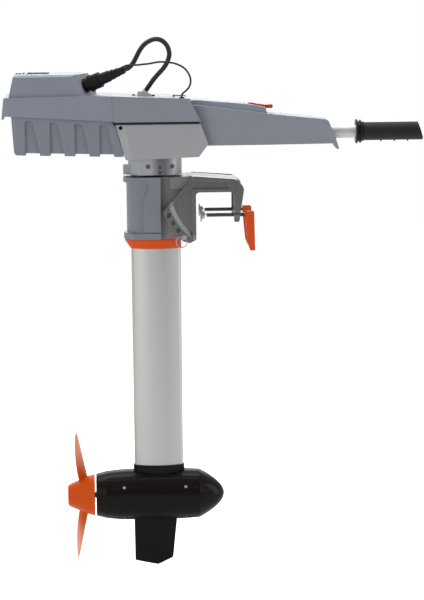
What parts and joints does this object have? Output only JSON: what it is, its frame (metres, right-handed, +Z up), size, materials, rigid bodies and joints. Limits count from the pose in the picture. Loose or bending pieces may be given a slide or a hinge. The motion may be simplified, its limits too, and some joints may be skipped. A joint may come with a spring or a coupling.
{
  "type": "electric outboard trolling motor",
  "caption": "Small electric outboard motor: tiller with twist grip, clip-on battery, transom clamp, oval pylon tube, motor pod with fin and orange propeller.",
  "frame": {"origin": "middle of the transom seat, the flat underside of the clamp's hook", "axes": "+X into the boat towards the tiller, +Z up along the shaft, +Y across"},
  "size_m": [0.8429, 0.1561, 1.0815],
  "materials": {
    "cast_dark": "satin dark grey cast aluminium",
    "housing_grey": "painted blue-grey casting",
    "frame_grey": "painted warm grey casting",
    "tube_silver": "satin silver-white anodised tube",
    "collar_grey": "satin grey metal",
    "orange": "satin orange plastic",
    "blue_grey": "satin blue-grey moulded plastic",
    "light_plastic": "light grey plastic",
    "pod_black": "satin black painted casting",
    "black_plastic": "black plastic",
    "rubber_black": "black rubber",
    "steel": "bright stainless steel",
    "steel_dark": "dark steel",
    "copper": null,
    "board": "potted controller block",
    "cells": "wrapped cell pack"
  },
  "bodies": {
    "bracket": {"clamp_bracket": "cast_dark", "tilt_pin": "steel"},
    "trim": {"trim_pin": "steel", "trim_ring": "steel"},
    "swivel": {"swivel_housing": "housing_grey", "bush_upper": "black_plastic", "bush_lower": "black_plastic"},
    "steer": {"steering_tube": "tube_silver", "thrust_collar": "orange", "pylon": "tube_silver", "head_collar": "collar_grey", "collar_screws": "steel_dark", "head_frame": "frame_grey", "head_seal": "rubber_black", "head_cover": "blue_grey", "controller": "board", "fold_pin": "steel", "cable_gland": "light_plastic", "data_grommet": "rubber_black", "battery_case": "blue_grey", "battery_cover": "blue_grey", "battery_core": "cells", "battery_pin": "black_plastic", "battery_socket": "black_plastic", "power_plug": "black_plastic", "power_cable": "rubber_black", "data_cable": "rubber_black", "pod_body": "pod_black", "nose_cap": "pod_black", "pod_screws": "steel", "fin": "pod_black", "stator": "copper", "bearing_rear": "steel", "bearing_front": "steel", "shaft_seal": "rubber_black"},
    "drive": {"rotor": "steel_dark", "propeller": "orange", "drive_pin": "steel", "prop_nut": "steel"},
    "tiller": {"tiller_shell": "blue_grey", "tiller_floor": "blue_grey", "tiller_tube": "tube_silver", "kill_seat": "black_plastic"},
    "key": {"kill_key": "orange"},
    "grip": {"throttle_grip": "rubber_black", "grip_collar": "black_plastic", "grip_cap": "black_plastic"},
    "ball_near": {"pad_ball_near": "steel"},
    "pad_near": {"clamp_pad_near": "steel"},
    "screw_near": {"clamp_screw_near": "steel_dark"},
    "lever_body_near": {"lever_near": "orange", "lever_pin_near": "steel"},
    "ball_far": {"pad_ball_far": "steel"},
    "pad_far": {"clamp_pad_far": "steel"},
    "screw_far": {"clamp_screw_far": "steel_dark"},
    "lever_body_far": {"lever_far": "orange", "lever_pin_far": "steel"}
  },
  "joints": [
    {"name": "tilt", "type": "hinge", "parent": "bracket", "child": "swivel", "pos_m": [0.04, 0, 0.014], "axis": [0, 1, 0], "range_deg": [0, 75]},
    {"name": "trim_pull", "type": "slide", "parent": "bracket", "child": "trim", "axis": [0, -1, 0], "range_m": [0, 0.125]},
    {"name": "steering", "type": "hinge", "parent": "swivel", "child": "steer", "pos_m": [-0.11803, 0, 0], "axis": [0, 0, 1], "range_deg": [-60, 60]},
    {"name": "tiller_fold", "type": "hinge", "parent": "steer", "child": "tiller", "pos_m": [-0.03303, 0, 0.1], "axis": [0, -1, 0], "range_deg": [0, 60]},
    {"name": "throttle_twist", "type": "hinge", "parent": "tiller", "child": "grip", "pos_m": [0.3, 0, 0.1133], "axis": [1, 0, 0], "range_deg": [-60, 60]},
    {"name": "key_pull", "type": "slide", "parent": "tiller", "child": "key", "axis": [0, 0, 1], "range_m": [0, 0.04]},
    {"name": "prop_spin", "type": "hinge", "parent": "steer", "child": "drive", "pos_m": [-0.2, 0, -0.625], "axis": [1, 0, 0], "continuous": true},
    {"name": "screw_near_feed", "type": "slide", "parent": "bracket", "child": "ball_near", "axis": [1, 0, 0], "range_m": [0, 0.0501]},
    {"name": "pad_near_swivel", "type": "hinge", "parent": "ball_near", "child": "pad_near", "pos_m": [-0.0225, -0.051, -0.046], "axis": [0, 1, 0], "range_deg": [-6, 6]},
    {"name": "screw_near_turn", "type": "hinge", "parent": "ball_near", "child": "screw_near", "pos_m": [0.02, -0.051, -0.046], "axis": [1, 0, 0], "range_deg": [0, 9000]},
    {"name": "lever_near_fold", "type": "hinge", "parent": "screw_near", "child": "lever_body_near", "pos_m": [0.069, -0.051, -0.046], "axis": [0, -1, 0], "range_deg": [0, 90]},
    {"name": "screw_far_feed", "type": "slide", "parent": "bracket", "child": "ball_far", "axis": [1, 0, 0], "range_m": [0, 0.0501]},
    {"name": "pad_far_swivel", "type": "hinge", "parent": "ball_far", "child": "pad_far", "pos_m": [-0.0225, 0.051, -0.046], "axis": [0, 1, 0], "range_deg": [-6, 6]},
    {"name": "screw_far_turn", "type": "hinge", "parent": "ball_far", "child": "screw_far", "pos_m": [0.02, 0.051, -0.046], "axis": [1, 0, 0], "range_deg": [0, 9000]},
    {"name": "lever_far_fold", "type": "hinge", "parent": "screw_far", "child": "lever_body_far", "pos_m": [0.069, 0.051, -0.046], "axis": [0, -1, 0], "range_deg": [0, 90]}
  ],
  "couplings": [
    {"joint": "screw_near_feed", "follows": "screw_near_turn", "m_per_rad": 0.00031831},
    {"joint": "screw_far_feed", "follows": "screw_far_turn", "m_per_rad": 0.00031831}
  ]
}
